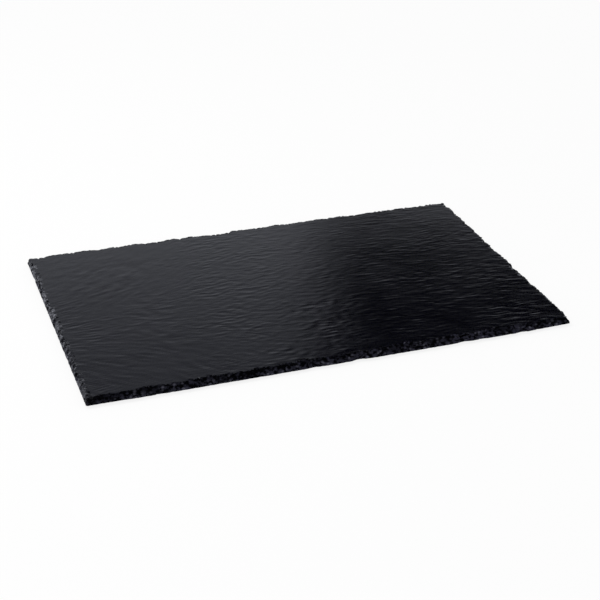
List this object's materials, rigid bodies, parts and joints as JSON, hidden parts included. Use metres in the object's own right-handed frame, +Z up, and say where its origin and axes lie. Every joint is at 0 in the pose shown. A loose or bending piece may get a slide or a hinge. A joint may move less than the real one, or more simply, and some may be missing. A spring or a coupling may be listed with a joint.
{
  "type": "slate serving board",
  "caption": "Flat rectangular serving board of natural riven slate with broken, flaked edges, standing on low stick-on rubber feet.",
  "frame": {"origin": "on the table under the middle of the plate, at the level of the feet's soles", "axes": "+Z up, +X along the board's long side, and the front edge (the one nearest the viewer in the picture) faces -Y"},
  "size_m": [0.53, 0.325, 0.0098],
  "materials": {
    "slate": "riven, oiled, satin",
    "foot_rubber": "matt moulded rubber",
    "adhesive": "double-sided adhesive film"
  },
  "bodies": {
    "root": {"slate_plate": "slate", "foot_front_left": "foot_rubber", "foot_front_right": "foot_rubber", "foot_back_left": "foot_rubber", "foot_back_right": "foot_rubber", "adhesive_pad_front_left": "adhesive", "adhesive_pad_front_right": "adhesive", "adhesive_pad_back_left": "adhesive", "adhesive_pad_back_right": "adhesive"}
  },
  "joints": []
}
